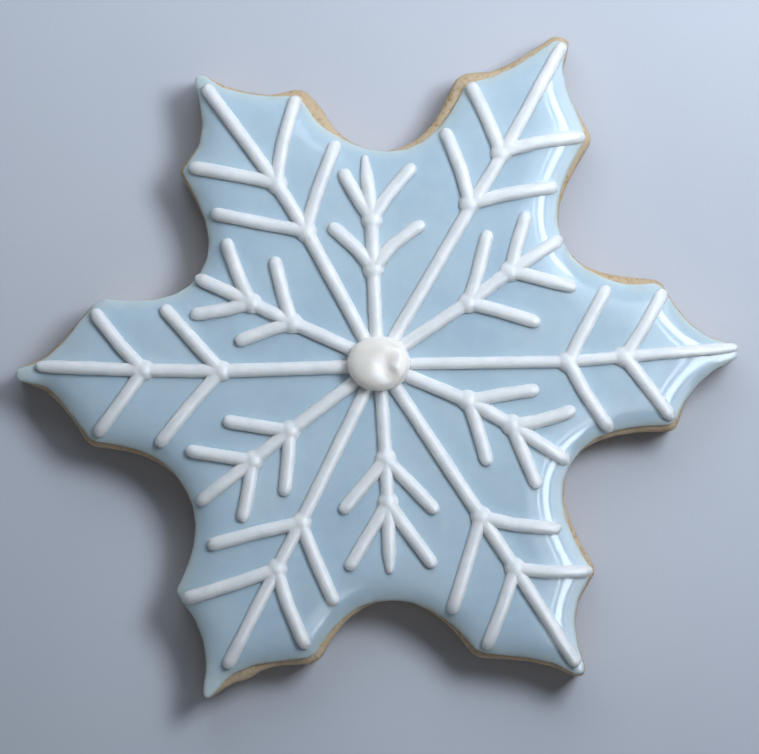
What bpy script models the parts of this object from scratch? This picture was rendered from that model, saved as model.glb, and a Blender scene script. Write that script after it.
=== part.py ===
"""An iced sugar cookie cut as a six-armed snowflake. Metres, +Z up.

The biscuit lies flat on z = 0. The piped sprays run out from the hub, which is above the origin.
Headings are in degrees, counter-clockwise from +X as seen from above.
"""

import math
from collections import namedtuple

import bmesh
import bpy
import numpy as np
from mathutils import Vector
from mathutils.geometry import delaunay_2d_cdt

# Driving dimensions.
COOKIE_ACROSS = 0.100  # the cutter, from the tip of one arm to the tip of the opposite arm
BISCUIT_THICK = 0.0065
ICING_THICK = 0.0017
LINE_WIDTH = 0.0016  # a line from a round 1.5 mm nozzle
LINE_HEIGHT = 0.0011
BEAD_SIZE = (0.0088, 0.0077, 0.0034)
GAP = 0.0003  # left between a piece and what it rests on or ends against

UNIT = COOKIE_ACROSS / 100  # the tables of outline and piping are in hundredths of the cookie

# Edges of the slabs.
FOOT_INSET = 0.0004  # the biscuit's lower edge is drawn in by this
FOOT_HEIGHT = 0.0007
BISCUIT_CROWN = (0.0012, 0.0011)  # how wide and how high the biscuit's upper edge is rounded
ICING_CROWN = (0.0022, ICING_THICK)  # the flood's surface rounds down to nothing at its border
CROWN_ANGLES = (25, 52, 78, 90)  # where the rings of a rounded edge lie on its quarter ellipse
RING_CLEARANCE = 0.97  # a ring's point stays if it clears the outline by this share of its inset
EDGE_WOBBLE = 0.00012  # the baked edge isn't quite even
EDGE_WAVES = (17, 41)  # how many waves of each kind run round it
SIDE_SHARES = np.array((0, 0.05, 0.27, 0.5, 0.73, 0.95))  # points along one side of an arm's tip
SIDE_PLACES = np.array((0, 0.25, 0.8, 1.0, 1.2, 1.75))  # where they lie in a row of rims
BAY_STEPS = 14  # points along the bay between two arms
CORNER_ROUND = 0.0003  # a corner's own point is drawn in by this
TIP_FULLNESS = 2.0  # exponent of a side's hollow: 2 is a parabola
BAY_FULLNESS = 2.3  # a bay is a little squarer

# Piped lines.
SECTION_POINTS = 6  # corners of a line's half-round section
END_SHARES = ((1.0, 1.0), (0.3, 0.78), (0.0, 0.42))  # a round end: half widths to the end, narrowing
TIP_TAPER = 0.003  # a drawn-out tip narrows over this length
SPINE_STEP = 0.0055
LIMB_STEPS = 3
CHEVRON_LIFT = 0.00004  # chevrons are piped over the spine
BEAD_SEGMENTS = (24, 12)  # round the bead and from pole to pole
BEAD_SINK = 0.35  # share of the bead's height by which its widest ring is above its foot
BEAD_PEAK = (0.0026, -0.0006, 0.0004)  # the settled peak's place across the bead, and its height
PEAK_SPREAD = 0.0008

# The icing's outline, arm by arm. Corners are (heading, reach), and a tip has its width too, as it is
# blunt; edges are (hollow, lean), where the hollow is how far the edge sags towards the hub and lean
# moves its deepest part towards its start.
Arm = namedtuple("Arm", "first_shoulder first_side tip second_side second_shoulder bay")
ARMS = (
    Arm((348.5, 41.6), (1.6, -0.1), (2.0, 49.9, 1.6), (2.0, 0.2), (16.2, 40.6), (9.5, 0.1)),
    Arm((47.6, 42.6), (1.3, -0.8), (60.3, 51.6, 1.2), (0.9, -0.5), (72.5, 40.8), (8.7, 0.1)),
    Arm((106.7, 38.8), (1.4, -0.1), (122.0, 47.4, 1.0), (2.2, -0.4), (135.5, 38.3), (9.9, 0.0)),
    Arm((166.9, 39.6), (1.5, -0.9), (181.6, 50.4, 1.6), (1.7, 0.6), (194.9, 41.0), (8.2, 0.0)),
    Arm((228.4, 42.2), (2.2, 0.0), (242.6, 52.1, 0.9), (2.2, 0.6), (257.3, 41.3), (7.5, 0.1)),
    Arm((289.2, 41.9), (1.0, -0.8), (303.4, 51.4, 0.9), (2.1, -0.2), (315.9, 41.2), (9.9, 0.0)),
)

# How far the biscuit shows beyond the icing, arm by arm: at the five corners and sides of the arm,
# then a quarter, half and three quarters of the way along the bay.
RIMS = (
    (1.2, 0.2, 0.2, 0.4, 0.6, 0.6, 0.2, 0.7),
    (1.1, 0.3, 1.0, 0.9, 1.8, 1.3, 0.3, 0.4),
    (1.0, 0.4, 0.2, 0.4, 0.6, 0.4, 0.2, 0.2),
    (0.3, 0.5, 0.2, 0.6, 0.9, 0.8, 0.3, 0.2),
    (0.2, 0.2, 0.4, 1.0, 1.2, 0.8, 0.3, 0.4),
    (1.2, 0.8, 0.4, 0.4, 0.9, 0.6, 0.2, 0.8),
)

# The piping. A spray is a spine with two chevrons. reach holds the distances from the hub to the
# inner chevron, the outer chevron and the tip, and drift how far to the left of the heading the spine
# is at its start and at those three. A limb is (length, splay from the heading, sag to the hub), and
# the chevrons of a spray with an offset meet that far to the left of its spine.
Spray = namedtuple("Spray", "heading drift reach inner outer width tip_width offset",
                   defaults=(1.0, 1.0, 0.0))
LONG_SPRAYS = (
    Spray(0, (0.0, 0.3, 1.0, 2.3), (26.2, 34.0, 49.7),
          ((11.7, 62, 0.1), (11.0, 58, 0.3)), ((10.5, 59, -0.2), (10.6, 52, 0.0)), 0.85, 0.6),
    Spray(60, (-0.1, -0.2, -0.4, 0.0), (25.5, 33.8, 51.4),
          ((10.8, 49, -0.4), (12.2, 49, -0.3)), ((10.6, 54, -0.2), (11.5, 49, -0.4)), 1.0, 0.9, 0.35),
    Spray(120, (-0.1, -0.5, -0.3, 1.6), (20.9, 28.7, 45.4),
          ((13.2, 49, 0.1), (13.0, 49, -0.3)), ((12.1, 49, 0.0), (12.4, 43, -0.4))),
    Spray(180, (0.6, 1.0, 0.9, 0.3), (21.8, 32.5, 47.3),
          ((13.4, 50, -0.2), (12.0, 48, 0.0)), ((10.9, 54, 0.1), (10.7, 50, -0.2)), 1.0, 0.8),
    Spray(240, (0.3, 1.7, 2.0, 2.8), (24.4, 31.6, 46.8),
          ((12.2, 53, -0.1), (13.1, 46, 0.2)), ((11.5, 51, -0.3), (13.4, 42, -0.1))),
    Spray(300, (0.6, 1.7, 2.2, 3.0), (25.4, 33.9, 49.8),
          ((11.0, 52, -0.4), (13.8, 47, 0.0)), ((10.3, 58, -0.3), (11.6, 50, -0.2))),
)
SHORT_SPRAYS = (
    Spray(30, (0.6, 1.1, 2.0, 2.4), (15.0, 22.2, 30.4),
          ((10.2, 45, -0.2), (10.1, 46, -0.1)), ((8.4, 44, 0.1), (9.3, 44, 0.0))),
    Spray(90, (0.3, 0.7, 0.9, 1.9), (13.1, 20.0, 28.8),
          ((8.5, 45, -0.4), (9.3, 48, -0.7)), ((7.9, 31, 0.2), (9.4, 38, -0.3)), 1.0, 0.5),
    Spray(150, (0.0, 1.1, 1.5, 2.2), (13.2, 19.5, 27.6),
          ((8.1, 49, -0.1), (9.3, 45, -0.1)), ((8.3, 41, 0.3), (9.4, 38, -0.2))),
    Spray(210, (0.6, 1.9, 2.9, 4.2), (15.3, 21.8, 31.2),
          ((8.8, 55, 0.2), (9.1, 39, 0.0)), ((8.3, 50, 0.2), (9.1, 39, 0.0))),
    Spray(270, (0.5, 1.0, 1.3, 1.6), (13.2, 19.2, 28.9),
          ((10.1, 44, 0.1), (9.4, 40, 0.0)), ((10.8, 36, 0.0), (10.6, 31, 0.0)), 1.0, 0.5),
    Spray(330, (0.6, 1.8, 1.9, 1.4), (13.3, 20.2, 29.3),
          ((9.7, 39, 0.1), (9.2, 43, -0.1)), ((8.8, 44, -0.4), (9.3, 37, 0.1))),
)

# Heights that follow from the thicknesses.
ICING_FOOT = BISCUIT_THICK + GAP
ICING_TOP = ICING_FOOT + ICING_THICK

SHARP_ANGLE = math.radians(50)  # edges sharper than this aren't shaded smooth
WELD = 1e-6  # points this close are one
INSIDE_ONLY = 1  # delaunay_2d_cdt keeps the triangles inside the outline

# Finishes: linear RGB colour, then roughness.
BAKED_DOUGH = ((0.60, 0.40, 0.19, 1.0), 0.85)
BLUE_FLOOD = ((0.38, 0.52, 0.64, 1.0), 0.25)
WHITE_PIPING = ((0.82, 0.83, 0.84, 1.0), 0.35)
WHITE_BEAD = ((0.86, 0.85, 0.83, 1.0), 0.2)


def clear_scene():
    for item in list(bpy.data.objects):
        bpy.data.objects.remove(item)


def new_collection(name):
    collection = bpy.data.collections.new(name)
    bpy.context.scene.collection.children.link(collection)
    return collection


def finish_material(name, colour, roughness):
    material = bpy.data.materials.new(name)
    material.use_nodes = True
    shader = material.node_tree.nodes["Principled BSDF"]
    shader.inputs["Base Color"].default_value = colour
    shader.inputs["Roughness"].default_value = roughness
    shader.inputs["Metallic"].default_value = 0.0
    return material


def forward(heading):
    """The unit step along a heading, given in radians."""
    return np.array((math.cos(heading), math.sin(heading)))


def in_plan(heading, along, left):
    """Plan points from distances along a heading in radians and to its left."""
    ahead = forward(heading)
    return np.outer(along, ahead) + np.outer(left, (-ahead[1], ahead[0]))


def corner(heading, reach):
    return forward(math.radians(heading)) * reach * UNIT


def tip_corners(heading, reach, width):
    """The two corners of a blunt tip."""
    across = forward(math.radians(heading + 90)) * width * UNIT / 2
    return corner(heading, reach) - across, corner(heading, reach) + across


def edge_points(start, end, hollow, lean, fullness, shares):
    """Points along an edge that sags to the hub, at these shares of the straight way to its end."""
    chord = end - start
    inward = np.array((-chord[1], chord[0])) / np.linalg.norm(chord)
    depth = hollow * UNIT * (1 - np.abs(2 * shares - 1) ** fullness) * (1 + lean * (1 - 2 * shares))
    return start + np.outer(shares, chord) + np.outer(depth, inward)


def icing_outline():
    """The icing's border, counter-clockwise, and how far the biscuit shows beyond it at each point."""
    bay_shares = (1 - np.cos(np.pi * np.arange(BAY_STEPS) / BAY_STEPS)) / 2
    points, rims = [], []
    for number, arm in enumerate(ARMS):
        following = ARMS[(number + 1) % len(ARMS)]
        first, second = corner(*arm.first_shoulder), corner(*arm.second_shoulder)
        beyond = corner(*following.first_shoulder)
        tip_start, tip_end = tip_corners(*arm.tip)
        points.append(edge_points(first, tip_start, *arm.first_side, TIP_FULLNESS, SIDE_SHARES))
        points.append(tip_start[None])
        points.append(edge_points(tip_end, second, *arm.second_side, TIP_FULLNESS, SIDE_SHARES))
        points.append(edge_points(second, beyond, *arm.bay, BAY_FULLNESS, bay_shares))
        row = RIMS[number] + (RIMS[(number + 1) % len(RIMS)][0],)
        places = np.concatenate((SIDE_PLACES, (2,), 2 + SIDE_PLACES, 4 + 4 * bay_shares))
        rims.append(np.interp(places, np.arange(len(row)), row))
    starts = np.cumsum([0] + [len(edge) for edge in points[:-1]])
    return rounded(np.concatenate(points), starts), np.concatenate(rims) * UNIT


def rounded(outline, corners):
    """The outline with the points at its corners drawn in towards their neighbours."""
    softened = outline.copy()
    for number in corners:
        middle = (outline[number - 1] + outline[number + 1]) / 2
        inward = middle - outline[number]
        softened[number] += inward / np.linalg.norm(inward) * CORNER_ROUND
    return softened


def outward_normals(outline):
    """At each point, the direction that leads straight out of the outline, long enough to keep a
    sharp corner's two sides at the same distance."""
    before = outline - np.roll(outline, 1, axis=0)
    after = np.roll(outline, -1, axis=0) - outline
    normals = [np.stack((step[:, 1], -step[:, 0]), 1) / np.linalg.norm(step, axis=1)[:, None]
               for step in (before, after)]
    middle = normals[0] + normals[1]
    middle /= np.linalg.norm(middle, axis=1)[:, None]
    return middle / np.sum(middle * normals[0], axis=1)[:, None]


def biscuit_outline(icing, rims):
    """The icing's border moved out by the rim, with the slight waves of a baked edge."""
    normals = outward_normals(icing)
    lengths = np.linalg.norm(normals, axis=1)
    directions = normals / lengths[:, None]
    turn = np.arctan2(icing[:, 1], icing[:, 0])
    waves = EDGE_WOBBLE * np.mean([np.sin(count * turn) for count in EDGE_WAVES], axis=0)
    return icing + directions * (rims + waves)[:, None]


def distance_inside(points, outline):
    """How far each point is from the outline."""
    run = np.roll(outline, -1, axis=0) - outline
    offset = points[:, None, :] - outline[None, :, :]
    share = np.clip(np.sum(offset * run, axis=2) / np.sum(run * run, axis=1), 0, 1)
    return np.linalg.norm(offset - share[..., None] * run, axis=2).min(axis=1)


def crown_rise(distance, crown):
    """Height of a rounded edge above where it starts, at this distance inside the outline."""
    width, height = crown
    share = np.clip(1 - np.asarray(distance) / width, 0, 1)
    return height * np.sqrt(1 - share**2)


def crown_points(outline, crown):
    """The outline, then the rings of its rounded edge wherever they don't cross at a sharp tip."""
    width = crown[0]
    rings = [outline]
    normals = outward_normals(outline)
    for angle in CROWN_ANGLES:
        inset = width * (1 - math.cos(math.radians(angle)))
        ring = outline - normals * inset
        rings.append(ring[distance_inside(ring, outline) > RING_CLEARANCE * inset])
    return np.concatenate(rings)


def slab(name, outline, crown_foot, crown, wall, material):
    """A flat piece with a rounded upper edge. crown_foot is the height where the rounding starts.
    wall holds the rings below it, each as (how far the ring is drawn in, its height)."""
    count = len(outline)
    points = crown_points(outline, crown)
    loop = [(i, (i + 1) % count) for i in range(count)]
    plan = [Vector(point) for point in points]
    flat, _, triangles, origins, _, _ = delaunay_2d_cdt(plan, loop, [], INSIDE_ONLY, WELD / 10)
    rise = crown_rise(distance_inside(np.array([tuple(p) for p in flat]), outline), crown)
    normals = outward_normals(outline)

    form = bmesh.new()
    outward = form.verts.layers.float_vector.new("outward")
    verts = []
    for point, height, origin in zip(flat, rise, origins):
        on_border = min(origin) < count
        vert = form.verts.new((point.x, point.y, crown_foot + (0 if on_border else float(height))))
        if on_border:
            vert[outward] = (*normals[min(origin)], 0)
        verts.append(vert)
    for triangle in triangles:
        form.faces.new([verts[i] for i in triangle])

    border = [edge for edge in form.edges if edge.is_boundary]
    drawn_in = 0
    for inset, height in wall:
        made = bmesh.ops.extrude_edge_only(form, edges=border)["geom"]
        for vert in (item for item in made if isinstance(item, bmesh.types.BMVert)):
            vert.co -= vert[outward] * (inset - drawn_in)
            vert.co.z = height
        border = [item for item in made if isinstance(item, bmesh.types.BMEdge) and item.is_boundary]
        drawn_in = inset
    bmesh.ops.triangle_fill(form, use_beauty=True, edges=border)
    bmesh.ops.recalc_face_normals(form, faces=form.faces)
    form.verts.layers.float_vector.remove(outward)
    return part_object(name, form, material)


def part_object(name, form, material):
    mesh = bpy.data.meshes.new(name)
    form.to_mesh(mesh)
    form.free()
    mesh.materials.append(material)
    mesh.shade_smooth()
    mesh.set_sharp_from_angle(angle=SHARP_ANGLE)
    item = bpy.data.objects.new(name, mesh)
    PARTS.objects.link(item)
    return item


def line_section():
    """The half-round section that every piped line follows, as a closed curve of its own."""
    curve = bpy.data.curves.new("line_section", "CURVE")
    curve.dimensions = "2D"
    spline = curve.splines.new("POLY")
    spline.points.add(SECTION_POINTS - 1)
    spline.use_cyclic_u = True
    for number, point in enumerate(spline.points):
        angle = math.pi * number / (SECTION_POINTS - 1)
        point.co = (math.cos(angle) * LINE_WIDTH / 2, math.sin(angle) * LINE_HEIGHT, 0, 1)
    section = bpy.data.objects.new("line_section", curve)
    section.hide_render = True
    section.display_type = "WIRE"
    CUTTERS.objects.link(section)
    return section


def resting_height(points, directions, outline):
    """Where a line's foot lies so that its whole width clears the icing."""
    side = np.stack((-directions[:, 1], directions[:, 0]), 1) * LINE_WIDTH / 2
    heights = [crown_rise(distance_inside(points + shift * side, outline), ICING_CROWN)
               for shift in (-1, 0, 1)]
    return ICING_FOOT + GAP + np.max(heights, axis=0)


def piped_line(name, points, widths, lift, outline, section):
    """One stroke of the nozzle: a half-round line through these plan points, of these widths."""
    directions = np.gradient(points, axis=0)
    directions /= np.linalg.norm(directions, axis=1)[:, None]
    heights = resting_height(points, directions, outline) + lift
    curve = bpy.data.curves.new(name, "CURVE")
    curve.dimensions = "3D"
    curve.twist_mode = "Z_UP"
    curve.bevel_mode = "OBJECT"
    curve.bevel_object = section
    curve.use_fill_caps = True
    spline = curve.splines.new("POLY")
    spline.points.add(len(points) - 1)
    for node, point, height, width in zip(spline.points, points, heights, widths):
        node.co = (*point, height, 1)
        node.radius = width
    stroke = bpy.data.objects.new(name, curve)
    CUTTERS.objects.link(stroke)
    return stroke


def mesh_from_curve(stroke):
    """The curve's own tube as a mesh object with its end caps welded on."""
    graph = bpy.context.evaluated_depsgraph_get()
    mesh = bpy.data.meshes.new_from_object(stroke.evaluated_get(graph))
    form = bmesh.new()
    form.from_mesh(mesh)
    bmesh.ops.remove_doubles(form, verts=form.verts, dist=WELD)
    bmesh.ops.recalc_face_normals(form, faces=form.faces)
    form.to_mesh(mesh)
    form.free()
    item = bpy.data.objects.new(stroke.name + "_solid", mesh)
    item.matrix_world = stroke.matrix_world
    CUTTERS.objects.link(item)
    bpy.data.objects.remove(stroke)
    return item


def with_round_end(places, widths, length, width):
    """Adds the rings of a round end to a line that ends at this length with this width."""
    shares, narrowing = np.array(END_SHARES).T
    places = np.append(places, length - shares * LINE_WIDTH / 2 * width)
    return places, np.append(widths, narrowing * width)


def spine_stroke(name, spray, outline, section):
    """The line from the bead to the spray's tip, through the points of its chevrons."""
    heading = math.radians(spray.heading)
    bead_reach = 1 / math.hypot(*(2 * forward(heading) / BEAD_SIZE[:2]))
    start, end = bead_reach + GAP, spray.reach[-1] * UNIT
    steps = round((end - TIP_TAPER - start) / SPINE_STEP)
    along = np.linspace(start, end - TIP_TAPER, steps + 1)
    widths = np.full(len(along), spray.width)
    along, widths = with_round_end(along, widths, end, spray.tip_width)
    left = np.interp(along, (start, *(UNIT * reach for reach in spray.reach)), UNIT * np.array(spray.drift))
    return piped_line(name, in_plan(heading, along, left), widths, 0, outline, section)


def limb_stroke(name, root, heading, limb, side, outline, section):
    """One half of a chevron, from its root on the spine. side is 1 to the left and -1 to the right."""
    length, sag = limb[0] * UNIT, limb[2] * UNIT
    along = np.linspace(0, length - LINE_WIDTH, LIMB_STEPS)
    along, widths = with_round_end(along, np.ones(LIMB_STEPS), length, 1.0)
    share = along / length
    hubward = side * 4 * sag * share * (1 - share)
    points = root + in_plan(heading + side * math.radians(limb[1]), along, hubward)
    return piped_line(name, points, widths, CHEVRON_LIFT, outline, section)


def piped_spray(name, spray, outline, section, material):
    """A spine with its four limbs, fused into one piece of icing."""
    heading = math.radians(spray.heading)
    strokes = [spine_stroke(name + "_spine", spray, outline, section)]
    for number, chevron in enumerate((spray.inner, spray.outer)):
        left = spray.drift[number + 1] + spray.offset
        root = in_plan(heading, spray.reach[number] * UNIT, left * UNIT)
        for limb, side in zip(chevron, (1, -1)):
            limb_name = f"{name}_limb_{len(strokes)}"
            strokes.append(limb_stroke(limb_name, root, heading, limb, side, outline, section))
    solids = [mesh_from_curve(stroke) for stroke in strokes]
    body, limbs = solids[0], solids[1:]
    CUTTERS.objects.unlink(body)
    PARTS.objects.link(body)
    body.name = name
    body.data.materials.clear()
    body.data.materials.append(material)
    body.data.shade_smooth()
    body.data.set_sharp_from_angle(angle=SHARP_ANGLE)
    for limb in limbs:
        limb.hide_render = True
        limb.display_type = "WIRE"
        fuse = body.modifiers.new(limb.name, "BOOLEAN")
        fuse.operation = "UNION"
        fuse.solver = "EXACT"
        fuse.object = limb
    return body


def centre_bead(material):
    """The large piped dot at the hub, with the low peak left where the nozzle was lifted off."""
    length, width, height = BEAD_SIZE
    sink = height * BEAD_SINK
    dome = height - sink
    form = bmesh.new()
    around, rings = BEAD_SEGMENTS
    bmesh.ops.create_uvsphere(form, u_segments=around, v_segments=rings, radius=1)
    bmesh.ops.scale(form, verts=form.verts, vec=(length / 2, width / 2, dome))
    cut = {"plane_co": (0, 0, -sink), "plane_no": (0, 0, 1)}
    whole = form.verts[:] + form.edges[:] + form.faces[:]
    made = bmesh.ops.bisect_plane(form, geom=whole, clear_inner=True, **cut)["geom_cut"]
    rim = [item for item in made if isinstance(item, bmesh.types.BMEdge)]
    bmesh.ops.holes_fill(form, edges=rim, sides=0)
    peak = Vector(BEAD_PEAK[:2])
    for vert in form.verts:
        if vert.co.z > 0:
            away = (vert.co.xy - peak).length / PEAK_SPREAD
            vert.co.z += BEAD_PEAK[2] * math.exp(-away * away / 2)
    bmesh.ops.translate(form, verts=form.verts, vec=(0, 0, ICING_TOP + GAP + sink))
    bmesh.ops.recalc_face_normals(form, faces=form.faces)
    return part_object("centre_bead", form, material)


def build():
    dough = finish_material("baked_sugar_dough", *BAKED_DOUGH)
    flood = finish_material("blue_flood_icing", *BLUE_FLOOD)
    piping = finish_material("white_piped_icing", *WHITE_PIPING)
    bead = finish_material("white_bead_icing", *WHITE_BEAD)

    icing, rims = icing_outline()
    biscuit = biscuit_outline(icing, rims)
    biscuit_wall = ((0, FOOT_HEIGHT), (FOOT_INSET, 0))
    slab("biscuit", biscuit, BISCUIT_THICK - BISCUIT_CROWN[1], BISCUIT_CROWN, biscuit_wall, dough)
    slab("flood_icing", icing, ICING_FOOT, ICING_CROWN, (), flood)

    section = line_section()
    for length, sprays in (("long", LONG_SPRAYS), ("short", SHORT_SPRAYS)):
        for spray in sprays:
            piped_spray(f"{length}_spray_{spray.heading:03d}", spray, icing, section, piping)
    centre_bead(bead)
    bpy.data.objects.remove(section)


clear_scene()
PARTS = new_collection("iced_snowflake_cookie")
CUTTERS = new_collection("cutters")
build()
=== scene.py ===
"""The looks of an iced sugar cookie: a baked snowflake biscuit, a settled flood of pale blue icing, and
white piped sprays that run out from a glossy bead. Metres, +Z up, the biscuit lying on z = 0."""

import math
from collections import namedtuple

import bmesh
import bpy
import numpy as np
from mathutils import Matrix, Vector, noise
from mathutils.bvhtree import BVHTree


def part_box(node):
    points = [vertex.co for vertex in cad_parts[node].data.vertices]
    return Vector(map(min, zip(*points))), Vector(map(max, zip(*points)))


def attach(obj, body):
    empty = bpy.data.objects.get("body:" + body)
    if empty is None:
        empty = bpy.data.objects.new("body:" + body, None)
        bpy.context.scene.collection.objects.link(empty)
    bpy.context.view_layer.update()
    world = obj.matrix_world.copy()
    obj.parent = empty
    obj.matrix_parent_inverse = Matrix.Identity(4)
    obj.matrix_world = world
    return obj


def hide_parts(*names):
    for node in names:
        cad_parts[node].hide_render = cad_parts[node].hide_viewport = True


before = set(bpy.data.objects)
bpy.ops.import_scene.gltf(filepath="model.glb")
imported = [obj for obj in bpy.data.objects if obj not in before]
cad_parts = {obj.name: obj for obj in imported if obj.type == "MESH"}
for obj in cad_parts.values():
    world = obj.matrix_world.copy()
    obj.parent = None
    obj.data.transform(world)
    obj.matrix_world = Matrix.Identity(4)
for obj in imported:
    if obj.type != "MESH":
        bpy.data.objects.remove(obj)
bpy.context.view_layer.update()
MM = 0.001
WELD = 0.001 * MM  # points nearer than this are one

SPRAYS = [name for name in sorted(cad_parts) if "_spray_" in name]
BISCUIT_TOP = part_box("biscuit")[1].z
FLOOD_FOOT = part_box("flood_icing")[0].z
FLOOD_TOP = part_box("flood_icing")[1].z
BEAD_LOW, BEAD_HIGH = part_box("centre_bead")

# Biscuit.
BISCUIT_SKIN = 0.5 * MM  # spacing of the points on its skin
BISCUIT_SOFTENING = 6  # how many times the skin is smoothed
BISCUIT_FIRMING = 0.9  # share of each smoothing's shrinkage that is given back
CRUMBS = ((2.6 * MM, 0.10 * MM), (1.1 * MM, 0.07 * MM), (0.55 * MM, 0.05 * MM))  # size and depth

# Where the dough spread further as it baked: the place in mm, how far, and over what reach.
SPREADS = (
    (-18.8, -43.3, 0.9, 2.8),
    (-8.0, 35.8, 0.8, 4.0),
    (34.5, 12.6, 0.25, 4.0),
)

# Flood icing.
FLOOD_SKIN = 0.42 * MM
FLOOD_SOFTENING = 8
FLOOD_FIRMING = 0.94
SKIRT = 0.8 * MM  # how far the icing wraps down over the biscuit's rounded edge
BORDER_SHARE = 0.1  # share of its thickness that the icing has at its very border
OVERHANG = 0.15 * MM  # how far the icing's border creeps out past the line it was flooded to
# Where the icing stops short of the biscuit's edge: the place in mm, the heading that it draws back in,
# how far, and over what reach.
RETREATS = (
    (34.7, 11.6, -92, 0.5, 3.5),
    (-46.0, -3.6, 60, 0.4, 2.2),
    (-48.3, 0.6, -75, 0.25, 1.2),
    (-21.7, 39.3, -125, 0.35, 3.0),
    (-8.1, 33.5, -135, 0.5, 3.0),
)
THIN_ICING = 0.95 * MM  # thickness below which the biscuit shows through
SETTLING_REACH = 2.0 * MM  # how far in from the border the surface rises
LEVEL_PITCH = 0.16 * MM  # spacing of the grid on which the settled surface is worked out
LEVEL_MARGIN = 4  # how many of its cells lie beyond the flood on each side
LEVEL_PASSES = 600
FOOT_MARGIN = 0.01 * MM  # faces higher than this over the flood's foot aren't part of its underside
SWELLS = (7.0 * MM, 0.03 * MM)  # spacing and height of the slow waves in the settled surface

# Piped lines.
LINE_SKIN = 0.15 * MM
LINE_SOFTENING = 8
LINE_HEIGHT = 1.1 * MM  # how high the solids' half-round lines stand
NUDGE = 0.06 * MM  # how far to the side a line's underside is also looked for
PLUMPNESS = 2.6  # 2 is a half-round section; more makes a line's top flatter and its flanks steeper
SAGGING = 0.15  # share of its height that a line loses as it sets
LINE_SINK = 0.14 * MM  # how deep a line's foot sits in the flood
UNDER_BEAD = 1.6 * MM  # how far each spine runs in under the bead
KNOB = (1.3 * MM, 1.3 * MM, 1.12 * MM)  # half size of the knob where a chevron turns
KNOB_MESH = (32, 20)  # segments round it, and rings from pole to pole
KNOB_DRAG = 0.1 * MM  # how far towards the bead the nozzle drags it
LINE_SWELL = 0.22 * MM  # how far a line's smoothed skin swells, to more than the solid line's width
HAND_WAVER = (3.2 * MM, 0.05 * MM)  # spacing and size of the unevenness of a hand-piped line
WAVER_STEP = 7.3  # how far along the unevenness each spray starts from the one before

# Where each spray's chevrons turn over its spine, in mm: how far out along its heading, and how far to
# its left.
CHEVRONS = {
    "long_spray_000": ((26.2, 0.3), (34.0, 1.0)),
    "long_spray_060": ((25.5, 0.15), (33.8, -0.05)),
    "long_spray_120": ((20.9, -0.5), (28.7, -0.3)),
    "long_spray_180": ((21.8, 1.0), (32.5, 0.9)),
    "long_spray_240": ((24.4, 1.7), (31.6, 2.0)),
    "long_spray_300": ((25.4, 1.7), (33.9, 2.2)),
    "short_spray_030": ((15.0, 1.1), (22.2, 2.0)),
    "short_spray_090": ((13.1, 0.7), (20.0, 0.9)),
    "short_spray_150": ((13.2, 1.1), (19.5, 1.5)),
    "short_spray_210": ((15.3, 1.9), (21.8, 2.9)),
    "short_spray_270": ((13.2, 1.0), (19.2, 1.3)),
    "short_spray_330": ((13.3, 1.8), (20.2, 1.9)),
}

NUDGES = [(0, 0)] + [(NUDGE * math.cos(turn), NUDGE * math.sin(turn)) for turn in range(0, 6)]

# Bead.
BEAD_FOOT = FLOOD_TOP - LINE_SINK
BEAD_MESH = (144, 96)  # segments round it, and rings from pole to pole
BEAD_FULLNESS = 2.6  # 2 is a plain ellipsoid; more makes the top flatter and the flanks steeper
BEAD_WAIST = 0.35  # share of its height at which it is widest
BEAD_WAVER = (2.4 * MM, 0.06 * MM)  # spacing and size of the unevenness of its skin
BEAD_DRYING = 0.04 * MM  # how far its skin draws in as it dries
PEAK_ROOM = 0.2 * MM  # how far its dome stays under its top, to leave room for the peak
PEAK_PLACE = (2.35 * MM, -0.55 * MM)  # where the nozzle lifted off and the icing's peak fell over
PEAK = (0.38 * MM, 0.22 * MM)  # spread and height of the peak
CREASE = (1.15 * MM, 0.50 * MM)  # how far from the peak the crease runs round its left, and its depth
CREASE_WALLS = (1.1 * MM, 0.55 * MM)  # spread of the crease's long outer side and its short inner side
CREASE_SHARES = (0.3, 0.7)  # share of the depth level with the peak, and what the left side adds
RELIEF_RISE = 1.5  # how fast the peak and the crease come in above the bead's waist
START_PLACE = (3.9 * MM, 3.0 * MM)  # where the bead's first icing shows as a small lump at its rim
START = (0.7 * MM, 0.6 * MM)  # spread and height of that lump

TINY = 1e-9  # keeps a length that is divided by off zero

Level = namedtuple("Level", "heights corner")


def welded_copy(node):
    """A CAD node's triangles as one closed form."""
    form = bmesh.new()
    form.from_mesh(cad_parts[node].data)
    bmesh.ops.remove_doubles(form, verts=form.verts, dist=WELD)
    return form


def reskinned(form, spacing, softening, firming=0.0):
    """The form under one even skin with points this far apart, smoothed this many times. After each
    smoothing, the firming share of its shrinkage is given back, which keeps tips and edges."""
    mesh = bpy.data.meshes.new("skin")
    form.to_mesh(mesh)
    form.free()
    item = bpy.data.objects.new("skin", mesh)
    bpy.context.scene.collection.objects.link(item)
    skin = item.modifiers.new("skin", "REMESH")
    skin.mode = "VOXEL"
    skin.voxel_size = spacing
    for _ in range(softening):
        item.modifiers.new("soften", "SMOOTH").factor = 0.5
        item.modifiers.new("firm", "SMOOTH").factor = -0.5 * firming
    graph = bpy.context.evaluated_depsgraph_get()
    fine = bpy.data.meshes.new_from_object(item.evaluated_get(graph))
    bpy.data.objects.remove(item)
    bpy.data.meshes.remove(mesh)
    return fine


def points_of(mesh):
    """Where a mesh's points are, one row each."""
    flat = np.empty(len(mesh.vertices) * 3, np.float32)
    mesh.vertices.foreach_get("co", flat)
    return flat.reshape(-1, 3).astype(float)


def move_points(mesh, points):
    """Puts a mesh's points in these places."""
    mesh.vertices.foreach_set("co", points.astype(np.float32).ravel())
    mesh.update()


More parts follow.
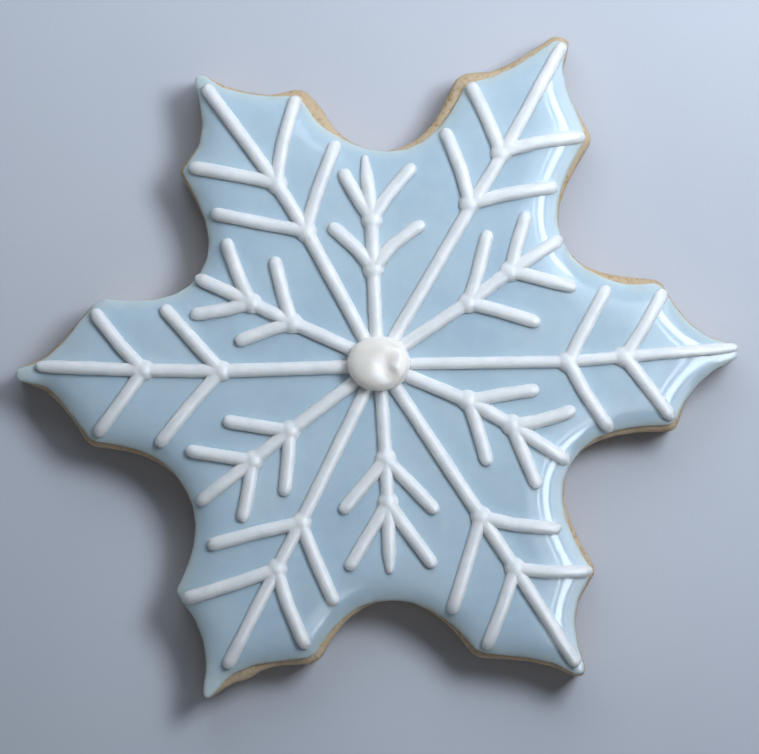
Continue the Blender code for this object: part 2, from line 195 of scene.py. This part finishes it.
def normals_of(mesh):
    """The outward direction at each of a mesh's points."""
    flat = np.empty(len(mesh.vertices) * 3, np.float32)
    mesh.vertex_normals.foreach_get("vector", flat)
    return flat.reshape(-1, 3).astype(float)


def fit_to_node(points, node):
    """Stretches or shrinks a piece slightly, so that it is as long and as wide as its CAD node."""
    low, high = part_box(node)
    for axis in (0, 1):
        start, end = points[:, axis].min(), points[:, axis].max()
        points[:, axis] = low[axis] + (points[:, axis] - start) * (high[axis] - low[axis]) / (end - start)


def ripple(points, spacing, offset=0.0):
    """Smooth noise between -1 and 1 with this spacing, at each point."""
    shift = Vector((offset, offset, offset))
    return np.array([noise.noise(Vector(point) / spacing + shift) for point in points])


def softened(mesh, passes):
    """Smooths a mesh in place."""
    form = bmesh.new()
    form.from_mesh(mesh)
    for _ in range(passes):
        bmesh.ops.smooth_vert(form, verts=form.verts, factor=0.5, use_axis_x=True, use_axis_y=True,
                              use_axis_z=True)
    form.to_mesh(mesh)
    form.free()


def show(name, mesh, material, slot, *nodes):
    """Adds a finished piece that stands for these CAD nodes."""
    mesh.name = name
    mesh.materials.clear()
    mesh.materials.append(material)
    mesh.shade_smooth()
    piece = bpy.data.objects.new(name, mesh)
    bpy.context.scene.collection.objects.link(piece)
    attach(piece, "root")
    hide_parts(*nodes)
    return piece


# Biscuit.

def baked_biscuit(material):
    """The biscuit with the fine pits and lumps of a baked crumb on its skin."""
    mesh = reskinned(welded_copy("biscuit"), BISCUIT_SKIN, BISCUIT_SOFTENING, BISCUIT_FIRMING)
    points, normals = points_of(mesh), normals_of(mesh)
    depth = np.zeros(len(points))
    for size, drop in CRUMBS:
        depth += drop * (0.5 + 0.5 * ripple(points, size))
    points -= normals * depth[:, None]
    for x, y, spread, reach in SPREADS:
        away = np.linalg.norm(points[:, :2] / MM - (x, y), axis=1)
        points[:, :2] += normals[:, :2] * (spread * MM * np.exp(-((away / reach) ** 2)))[:, None]
    points[:, 2] = np.clip(points[:, 2], 0, BISCUIT_TOP)
    fit_to_node(points, "biscuit")
    move_points(mesh, points)
    return show("baked_biscuit", mesh, material, "biscuit", "biscuit")


# Flood icing.

def settled_level():
    """How high the flood stands at each place of a fine grid: 0 at its border, 1 where it is full."""
    tree = BVHTree.FromBMesh(welded_copy("flood_icing"))
    low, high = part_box("flood_icing")
    corner = np.array(low.xy) - LEVEL_MARGIN * LEVEL_PITCH
    columns, rows = np.ceil((np.array(high.xy) - corner) / LEVEL_PITCH).astype(int) + LEVEL_MARGIN
    up = Vector((0, 0, 1))
    inside = np.zeros((columns, rows), bool)
    for column in range(columns):
        for row in range(rows):
            place = corner + LEVEL_PITCH * np.array((column, row))
            inside[column, row] = tree.ray_cast(Vector((*place, 0)), up)[0] is not None
    pull = (LEVEL_PITCH / SETTLING_REACH) ** 2
    heights = inside.astype(float)
    for _ in range(LEVEL_PASSES):
        around = sum(np.roll(heights, step, axis) for step in (-1, 1) for axis in (0, 1))
        heights = np.where(inside, (around + pull) / (4 + pull), 0)
    return Level(heights, corner)


def flood_height(level, points):
    """The height of the flood's surface at these points."""
    cell = (points[:, :2] - level.corner) / LEVEL_PITCH
    limit = np.array(level.heights.shape) - 2
    first = np.clip(np.floor(cell).astype(int), 0, limit)
    share = np.clip(cell - first, 0, 1)
    i, j = first.T
    u, v = share.T
    grid = level.heights
    near = grid[i, j] * (1 - v) + grid[i, j + 1] * v
    far = grid[i + 1, j] * (1 - v) + grid[i + 1, j + 1] * v
    full = near * (1 - u) + far * u
    thickness = FLOOD_TOP - FLOOD_FOOT - SWELLS[1]
    return FLOOD_FOOT + thickness * (BORDER_SHARE + (1 - BORDER_SHARE) * full)


def flood_icing(level, material):
    """The flood, cut to its border, wrapped down over the biscuit's edge and settled on top."""
    form = welded_copy("flood_icing")
    foot = FLOOD_FOOT + FOOT_MARGIN
    upper = [face for face in form.faces if face.calc_center_median().z > foot]
    bmesh.ops.delete(form, geom=upper, context="FACES")
    base = BISCUIT_TOP - SKIRT
    bmesh.ops.translate(form, verts=form.verts, vec=(0, 0, base - FLOOD_FOOT))
    wall = FLOOD_TOP - base
    raised = bmesh.ops.extrude_face_region(form, geom=form.faces[:])["geom"]
    tops = [item for item in raised if isinstance(item, bmesh.types.BMVert)]
    bmesh.ops.translate(form, verts=tops, vec=(0, 0, wall))
    bmesh.ops.recalc_face_normals(form, faces=form.faces)
    mesh = reskinned(form, FLOOD_SKIN, FLOOD_SOFTENING, FLOOD_FIRMING)
    points = points_of(mesh)
    share = (points[:, 2] - base) / wall
    top = flood_height(level, points) + SWELLS[1] * ripple(points * (1, 1, 0), SWELLS[0])
    points[:, 2] = base + share * (top - base)
    fit_to_node(points, "flood_icing")
    points[:, :2] += OVERHANG * normals_of(mesh)[:, :2]
    for x, y, heading, retreat, reach in RETREATS:
        away = np.linalg.norm(points[:, :2] / MM - (x, y), axis=1)
        drawn_back = retreat * MM * np.exp(-((away / reach) ** 2))
        points[:, 0] += drawn_back * math.cos(math.radians(heading))
        points[:, 1] += drawn_back * math.sin(math.radians(heading))
    move_points(mesh, points)
    softened(mesh, passes=2)
    return show("flooded_icing", mesh, material, "flood_icing", "flood_icing")


# Piped sprays.

def foot_height(tree, place):
    """The height of a spray's underside below a point of it."""
    lowest = place.z
    for nudge in NUDGES:
        below = Vector((place.x + nudge[0], place.y + nudge[1], 0))
        foot = tree.ray_cast(below, Vector((0, 0, 1)))[0]
        if foot is not None:
            lowest = min(lowest, foot.z)
    return lowest


def plumped(height):
    """How high a line's flat-topped section is where a half-round one has this height."""
    share = max(0, min(1, height / LINE_HEIGHT))
    across = math.sqrt(1 - share ** 2)
    plump = LINE_HEIGHT * (1 - across ** PLUMPNESS) ** (1 / PLUMPNESS)
    return (plump + max(0, height - LINE_HEIGHT)) * (1 - SAGGING)


def add_knobs(form, node):
    """Adds the knobs of icing that a spray's chevrons leave where they turn over its spine."""
    heading = math.radians(int(node[-3:]))
    along = Vector((math.cos(heading), math.sin(heading), 0))
    left = Vector((-along.y, along.x, 0))
    for reach, drift in CHEVRONS[node]:
        middle = along * (reach * MM - KNOB_DRAG) + left * drift * MM
        knob = bmesh.ops.create_uvsphere(form, u_segments=KNOB_MESH[0], v_segments=KNOB_MESH[1],
                                         radius=1)["verts"]
        bmesh.ops.scale(form, verts=knob, vec=KNOB)
        bmesh.ops.translate(form, verts=knob, vec=middle)


def laid_flat(node):
    """A spray taken off the flood and laid flat on z = 0, with its spine run on under the bead and a
    knob at each chevron, under one smooth skin."""
    form = welded_copy(node)
    tree = BVHTree.FromBMesh(form)
    heights = [vert.co.z - foot_height(tree, vert.co) for vert in form.verts]
    for vert, height in zip(form.verts, heights):
        vert.co.z = plumped(height)
    start = min(vert.co.xy.length for vert in form.verts)
    cap = [vert for vert in form.verts if vert.co.xy.length < start + UNDER_BEAD / 4]
    inward = -sum((vert.co.xy for vert in cap), Vector((0, 0))).normalized() * UNDER_BEAD
    bmesh.ops.translate(form, verts=cap, vec=(*inward, 0))
    add_knobs(form, node)
    return reskinned(form, LINE_SKIN, LINE_SOFTENING)


def piped_sprays(level, material):
    """The sprays, each one piece of icing: swollen, uneven, and set down a little way into the flood."""
    for number, node in enumerate(SPRAYS):
        mesh = laid_flat(node)
        points = points_of(mesh)
        waver = ripple(points, HAND_WAVER[0], offset=WAVER_STEP * number)
        swell = LINE_SWELL + HAND_WAVER[1] * waver
        points += normals_of(mesh) * swell[:, None]
        points[:, 2] += flood_height(level, points) - LINE_SINK
        points[:, 2] = np.minimum(points[:, 2], BEAD_HIGH.z)
        move_points(mesh, points)
        softened(mesh, passes=1)
        show("piped_" + node, mesh, material, "piping", node)


# Bead.

def bead_relief(place):
    """How far the fallen peak raises the bead's top and the crease beside it lowers it."""
    away = place - Vector(PEAK_PLACE)
    reach = away.length
    left = max(0, CREASE_SHARES[0] - CREASE_SHARES[1] * away.x / max(reach, TINY))
    beyond = reach - CREASE[0]
    wall = CREASE_WALLS[0] if beyond > 0 else CREASE_WALLS[1]
    peak = PEAK[1] * math.exp(-((reach / PEAK[0]) ** 2) / 2)
    return peak - CREASE[1] * left * math.exp(-((beyond / wall) ** 2) / 2)


def sculpted_bead(material):
    """The bead: a squashed ball that stands on the flood, with the peak that the nozzle left on it."""
    size = BEAD_HIGH - BEAD_LOW
    centre = (BEAD_LOW + BEAD_HIGH) / 2
    middle = BEAD_LOW.z + BEAD_WAIST * size.z
    sink = middle - BEAD_FOOT
    form = bmesh.new()
    bmesh.ops.create_uvsphere(form, u_segments=BEAD_MESH[0], v_segments=BEAD_MESH[1], radius=1)
    dome = BEAD_HIGH.z - middle - PEAK_ROOM
    for vert in form.verts:
        flank = vert.co.xy.length ** BEAD_FULLNESS
        crown = abs(vert.co.z) ** BEAD_FULLNESS
        vert.co /= (flank + crown) ** (1 / BEAD_FULLNESS)
    bmesh.ops.scale(form, verts=form.verts, vec=(size.x / 2, size.y / 2, dome))
    whole = form.verts[:] + form.edges[:] + form.faces[:]
    cut = bmesh.ops.bisect_plane(form, geom=whole, plane_co=(0, 0, -sink), plane_no=(0, 0, 1),
                                 clear_inner=True)["geom_cut"]
    rim = [item for item in cut if isinstance(item, bmesh.types.BMEdge)]
    bmesh.ops.holes_fill(form, edges=rim, sides=0)
    bmesh.ops.recalc_face_normals(form, faces=form.faces)
    for vert in form.verts:
        height = max(0, vert.co.z) / dome
        vert.co.z += bead_relief(vert.co.xy) * min(1, RELIEF_RISE * height)
    bmesh.ops.translate(form, verts=form.verts, vec=(centre.x, centre.y, middle))
    mesh = bpy.data.meshes.new("bead")
    form.to_mesh(mesh)
    form.free()
    points = points_of(mesh)
    away = np.linalg.norm(points[:, :2] - START_PLACE, axis=1)
    lump = START[1] * np.exp(-((away / START[0]) ** 2) / 2)
    swell = BEAD_WAVER[1] * ripple(points, BEAD_WAVER[0]) - BEAD_DRYING + lump
    points += normals_of(mesh) * swell[:, None]
    points = np.clip(points, (BEAD_LOW.x, BEAD_LOW.y, BEAD_FOOT), BEAD_HIGH)
    move_points(mesh, points)
    return show("icing_bead", mesh, material, "bead", "centre_bead")


# Materials.

# The stretch of a cloudy pattern's values that is spread over the range asked for.
CLOUD_LOW = 0.3
CLOUD_HIGH = 0.7


def linear(code):
    """A linear RGBA colour from a six-digit sRGB hex value."""
    shares = [int(code[i:i + 2], 16) / 255 for i in (0, 2, 4)]
    return (*(s / 12.92 if s <= 0.04045 else ((s + 0.055) / 1.055) ** 2.4 for s in shares), 1.0)


def set_stops(band, stops):
    """Gives a colour band these (share, hex colour) stops."""
    for element, (position, code) in zip(band, (stops[0], stops[-1])):
        element.position = position
        element.color = linear(code)
    for position, code in stops[1:-1]:
        band.new(position).color = linear(code)


def add(tree, kind, settings=None, links=None, output=0):
    """Adds a node, sets its properties, colour stops and unlinked sockets, links its inputs, and
    returns one of its outputs."""
    node = tree.nodes.new("ShaderNode" + kind)
    for name, value in (settings or {}).items():
        if name == "stops":
            set_stops(node.color_ramp.elements, value)
        elif isinstance(name, str) and hasattr(node, name):
            setattr(node, name, value)
        else:
            node.inputs[name].default_value = value
    for name, source in (links or {}).items():
        tree.links.new(source, node.inputs[name])
    return node.outputs[output]


def start_material(name, **settings):
    """A material with a Principled shader, these socket values and Object coordinates."""
    material = bpy.data.materials.new(name)
    material.use_nodes = True
    tree = material.node_tree
    shader = tree.nodes["Principled BSDF"]
    for socket, value in settings.items():
        shader.inputs[socket.replace("_", " ")].default_value = value
    place = add(tree, "TexCoord", output="Object")
    return material, tree, shader, place


def drifting(tree, place, size, low, high, detail=2.0):
    """A value that drifts between low and high over patches of about this size in metres."""
    clouds = add(tree, "TexNoise", {"Scale": 1 / size, "Detail": detail}, {"Vector": place})
    limits = {"From Min": CLOUD_LOW, "From Max": CLOUD_HIGH, "To Min": low, "To Max": high}
    return add(tree, "MapRange", limits, {"Value": clouds})


def clouded(tree, place, size, stops, detail=2.0, roughness=0.5):
    """A colour that runs through these stops over patches of about this size in metres."""
    settings = {"Scale": 1 / size, "Detail": detail, "Roughness": roughness}
    clouds = add(tree, "TexNoise", settings, {"Vector": place})
    return add(tree, "ValToRGB", {"stops": stops}, {"Fac": clouds})


def roughened(tree, shader, place, *layers):
    """Bumps the surface by these layers of grain: each one's size and depth in metres, its strength,
    its detail and its roughness."""
    normal = None
    for size, depth, strength, detail, roughness in layers:
        settings = {"Scale": 1 / size, "Detail": detail, "Roughness": roughness}
        links = {"Height": add(tree, "TexNoise", settings, {"Vector": place})}
        if normal:
            links["Normal"] = normal
        normal = add(tree, "Bump", {"Distance": depth, "Strength": strength}, links)
    tree.links.new(normal, shader.inputs["Normal"])


def baked_dough():
    """Sugar dough rolled, cut and baked: a pale dry top that turns golden and then brown towards the
    foot, with a fine open crumb and darker baked specks."""
    material, tree, shader, place = start_material(
        "sugar_dough_baked", Subsurface_Weight=0.12, Subsurface_Radius=(1.0, 0.55, 0.25),
        Subsurface_Scale=0.8 * MM, Specular_IOR_Level=0.3)
    height = add(tree, "SeparateXYZ", links={"Vector": place}, output="Z")
    patches = drifting(tree, place, 5 * MM, -1.0 * MM, 1.0 * MM)
    rise = add(tree, "Math", {"operation": "ADD"}, {0: height, 1: patches})
    toasting = add(tree, "MapRange", {"From Min": 0, "From Max": BISCUIT_TOP}, {"Value": rise})
    crust = ((0.0, "A57C53"), (0.16, "B89268"), (0.45, "C4A784"), (1.0, "CBB596"))
    toasted = add(tree, "ValToRGB", {"stops": crust}, {"Fac": toasting})
    specks = clouded(tree, place, 0.7 * MM, ((0.3, "C9AE88"), (0.5, "FFFFFF")), 4.0, 0.6)
    shares = drifting(tree, place, 2.2 * MM, 0.35, 0.9)
    colour = add(tree, "MixRGB", {"blend_type": "MULTIPLY"},
                 {"Fac": shares, "Color1": toasted, "Color2": specks})
    tree.links.new(colour, shader.inputs["Base Color"])
    tree.links.new(drifting(tree, place, 1.5 * MM, 0.78, 0.95), shader.inputs["Roughness"])
    roughened(tree, shader, place, (0.9 * MM, 0.25 * MM, 0.6, 3.0, 0.5),
              (0.28 * MM, 0.08 * MM, 0.7, 3.0, 0.7))
    return material


def flood_finish():
    """Royal icing thinned, flooded and dried: an even pale blue that clouds a little, goes paler and
    greener where it thins over the biscuit's edge, and keeps a low satin gloss."""
    material, tree, shader, place = start_material(
        "royal_icing_flooded", Subsurface_Weight=0.2, Subsurface_Radius=(0.7, 0.9, 1.0),
        Subsurface_Scale=0.7 * MM, IOR=1.5)
    shares = []
    for size, detail, share in ((11 * MM, 2.0, 0.7), (1.6 * MM, 3.0, 0.3)):
        clouds = add(tree, "TexNoise", {"Scale": 1 / size, "Detail": detail}, {"Vector": place})
        shares.append(add(tree, "Math", {"operation": "MULTIPLY", 1: share}, {0: clouds}))
    clouds = add(tree, "Math", {"operation": "ADD"}, {0: shares[0], 1: shares[1]})
    blues = ((0.3, "B2C8D7"), (0.5, "BACFDB"), (0.7, "C2D5DF"))
    blue = add(tree, "ValToRGB", {"stops": blues}, {"Fac": clouds})
    thin = clouded(tree, place, 2.5 * MM, ((0.3, "C9D3CB"), (0.7, "CFDEE1")))
    height = add(tree, "SeparateXYZ", links={"Vector": place}, output="Z")
    limits = {"From Min": FLOOD_FOOT, "From Max": FLOOD_FOOT + THIN_ICING}
    depth = add(tree, "MapRange", limits, {"Value": height})
    colour = add(tree, "MixRGB", links={"Fac": depth, "Color1": thin, "Color2": blue})
    tree.links.new(colour, shader.inputs["Base Color"])
    tree.links.new(drifting(tree, place, 7 * MM, 0.08, 0.15, 3.0), shader.inputs["Roughness"])
    roughened(tree, shader, place, (4.5 * MM, 0.08 * MM, 0.5, 2.0, 0.5),
              (0.5 * MM, 0.012 * MM, 0.2, 2.0, 0.5))
    return material


def piped_sugar(name, low, high, gloss):
    """Stiff white royal icing, pressed out of a nozzle and dried, between these two colours and with
    this range of roughness."""
    material, tree, shader, place = start_material(
        name, Subsurface_Weight=0.7, Subsurface_Radius=(1.0, 0.95, 0.85), Subsurface_Scale=1.0 * MM,
        IOR=1.5)
    white = clouded(tree, place, 2.4 * MM, ((0.3, low), (0.7, high)), 3.0)
    tree.links.new(white, shader.inputs["Base Color"])
    tree.links.new(drifting(tree, place, 1.8 * MM, *gloss, 3.0), shader.inputs["Roughness"])
    roughened(tree, shader, place, (1.2 * MM, 0.06 * MM, 0.5, 2.0, 0.5),
              (0.22 * MM, 0.012 * MM, 0.6, 2.0, 0.5))
    return material


def piping_finish():
    """The lines dry first and dull."""
    return piped_sugar("royal_icing_piped", "E6E8E8", "F3F3F2", (0.3, 0.42))


def bead_finish():
    """The bead stays wet longest, so it sets smooth and glossy, and a little creamier."""
    return piped_sugar("royal_icing_bead", "FBEEE6", "FFF4EC", (0.1, 0.16))


def matt_board():
    """Board with rolled matt paint: a pale, barely clouded grey with the fine stipple of the roller."""
    material, tree, shader, place = start_material("board_matt_painted", Specular_IOR_Level=0.0)
    grey = clouded(tree, place, 60 * MM, ((0.3, "C7CBD5"), (0.7, "CDD1D9")), 3.0)
    tree.links.new(grey, shader.inputs["Base Color"])
    tree.links.new(drifting(tree, place, 20 * MM, 0.8, 0.95), shader.inputs["Roughness"])
    roughened(tree, shader, place, (0.8 * MM, 0.05 * MM, 0.4, 2.0, 0.5))
    return material


# Studio.

VIEW_WIDTH = 105.1 * MM  # width of the strip at the aim's height that the camera takes in
LENS = 150
AIM = Vector((0.14 * MM, -1.8 * MM, FLOOD_TOP - 1 * MM))
ELEVATION = math.radians(89)
NEAREST = 0.01  # metres from the camera to the nearest thing that it can show
FLOOR_REACH = 3  # metres from the hub to the floor's edges
DAYLIGHT = "E6EFFA"
ROOM_COLOUR = "DDE4EC"
ROOM_STRENGTH = 0.11

# Each light's azimuth and elevation in degrees, its distance and size in metres, and its watts.
LAMPS = {  # these light the pieces and don't show in their gloss
    "key": (36, 52, 0.25, (0.1, 0.08), 0.445),
    "skylight": (88, 42, 0.18, (0.2, 0.1), 0.14),
    "bounce": (250, 12, 0.6, (0.5, 0.12), 0.3),
}
REFLECTIONS = {  # these show in the gloss and don't light the pieces
    "window": (0, 58, 0.7, (0.8, 0.14), 4.2),
    "window_strip": (0, 70, 0.7, (0.6, 0.03), 0.5),
    "bright_haze": (0, 61, 0.9, (1.1, 0.69), 6.5),
    "pale_wall": (0, 26, 0.8, (0.9, 0.5), 5.0),
}


def camera():
    """A long lens that looks almost straight down at the cookie."""
    data = bpy.data.cameras.new("camera")
    data.lens = LENS
    data.clip_start = NEAREST
    item = bpy.data.objects.new("camera", data)
    bpy.context.scene.collection.objects.link(item)
    back = Vector((0, -math.cos(ELEVATION), math.sin(ELEVATION)))
    item.location = AIM + back * VIEW_WIDTH * LENS / data.sensor_width
    item.rotation_euler = (-back).to_track_quat("-Z", "Y").to_euler()
    bpy.context.scene.camera = item


def floor():
    """The matt board that the cookie lies on."""
    form = bmesh.new()
    bmesh.ops.create_grid(form, x_segments=1, y_segments=1, size=FLOOR_REACH)
    mesh = bpy.data.meshes.new("floor")
    form.to_mesh(mesh)
    form.free()
    mesh.materials.append(matt_board())
    board = bpy.data.objects.new("floor", mesh)
    bpy.context.scene.collection.objects.link(board)


def softbox(name, azimuth, elevation, distance, size, power, mirrored):
    """A flat light that faces the hub, and either lights the pieces or is mirrored in their gloss."""
    data = bpy.data.lights.new(name, "AREA")
    data.shape = "RECTANGLE"
    data.size, data.size_y = size
    data.energy = power
    data.color = linear(DAYLIGHT)[:3]
    item = bpy.data.objects.new(name, data)
    bpy.context.scene.collection.objects.link(item)
    a, e = math.radians(azimuth), math.radians(elevation)
    away = Vector((math.cos(a) * math.cos(e), math.sin(a) * math.cos(e), math.sin(e)))
    item.location = away * distance
    item.visible_diffuse = not mirrored
    item.visible_glossy = mirrored
    item.visible_camera = False
    item.rotation_euler = (-away).to_track_quat("-Z", "Y").to_euler()


def room():
    """The faint even light of the room, shown in plain colours."""
    world = bpy.data.worlds.new("room")
    world.use_nodes = True
    background = world.node_tree.nodes["Background"]
    background.inputs["Color"].default_value = linear(ROOM_COLOUR)
    background.inputs["Strength"].default_value = ROOM_STRENGTH
    bpy.context.scene.world = world
    bpy.context.scene.view_settings.view_transform = "Standard"


def studio():
    """The floor, the lights and the room."""
    floor()
    for name, light in LAMPS.items():
        softbox(name, *light, mirrored=False)
    for name, light in REFLECTIONS.items():
        softbox(name, *light, mirrored=True)
    room()


camera()
studio()
level = settled_level()
baked_biscuit(baked_dough())
flood_icing(level, flood_finish())
piped_sprays(level, piping_finish())
sculpted_bead(bead_finish())
